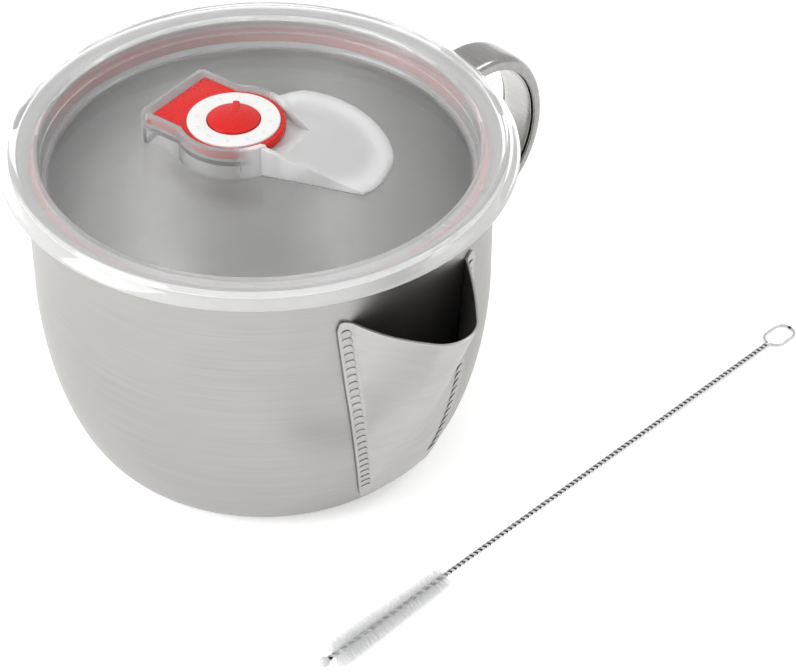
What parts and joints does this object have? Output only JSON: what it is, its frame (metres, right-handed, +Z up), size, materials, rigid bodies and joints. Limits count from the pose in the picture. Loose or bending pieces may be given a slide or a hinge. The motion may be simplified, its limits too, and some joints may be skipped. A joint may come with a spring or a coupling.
{
  "type": "candle melting pot",
  "caption": "Stainless melting pot with a folded V-shaped pouring spout, ear handle, clear plug lid with a hinged vent flap and dial, and a twisted-wire cleaning brush.",
  "frame": {"origin": "centre of the pot's flat base, on the surface it stands on", "axes": "+Z up, -Y towards the pouring spout, +X towards the handle"},
  "size_m": [0.2315, 0.1844, 0.1045],
  "materials": {
    "brushed_body": "fine brushed stainless steel",
    "satin_handle": "satin polished stainless steel",
    "weld_metal": "weld nuggets left as run",
    "clear_plastic": "slightly milky clear polypropylene",
    "red_silicone": "matt silicone",
    "red_plastic": "moulded red plastic",
    "white_plastic": "moulded white plastic",
    "white_silicone": "matt silicone",
    "brush_wire": "bright drawn stainless wire",
    "nylon": "white nylon filament"
  },
  "bodies": {
    "pot": {"pot_body": "brushed_body", "spout": "brushed_body", "left_weld_seam": "weld_metal", "right_weld_seam": "weld_metal", "handle_outer_shell": "satin_handle", "handle_inner_strip": "satin_handle"},
    "lid": {"lid_shell": "clear_plastic", "lid_seal": "red_silicone"},
    "flap": {"vent_flap": "red_plastic", "vent_plug": "white_silicone", "dial_ring": "white_plastic"},
    "knob": {"dial_knob": "red_plastic"},
    "brush": {"brush_stem": "brush_wire", "brush_eye": "brush_wire", "brush_bristles": "nylon", "brush_bead": "white_plastic"}
  },
  "joints": [
    {"name": "lid_lift", "type": "slide", "parent": "pot", "child": "lid", "axis": [0, 0, 1], "range_m": [0, 0.08]},
    {"name": "flap_hinge", "type": "hinge", "parent": "lid", "child": "flap", "pos_m": [-0.00347, 0.03453, 0.1006], "axis": [-0.9781, -0.2079, 0], "range_deg": [0, 90]},
    {"name": "knob_turn", "type": "hinge", "parent": "flap", "child": "knob", "pos_m": [0.001, 0.0135, 0.102], "axis": [0, 0, 1], "continuous": true},
    {"name": "brush_lift", "type": "slide", "parent": "pot", "child": "brush", "axis": [0, 0, 1], "range_m": [0, 0.1]}
  ]
}
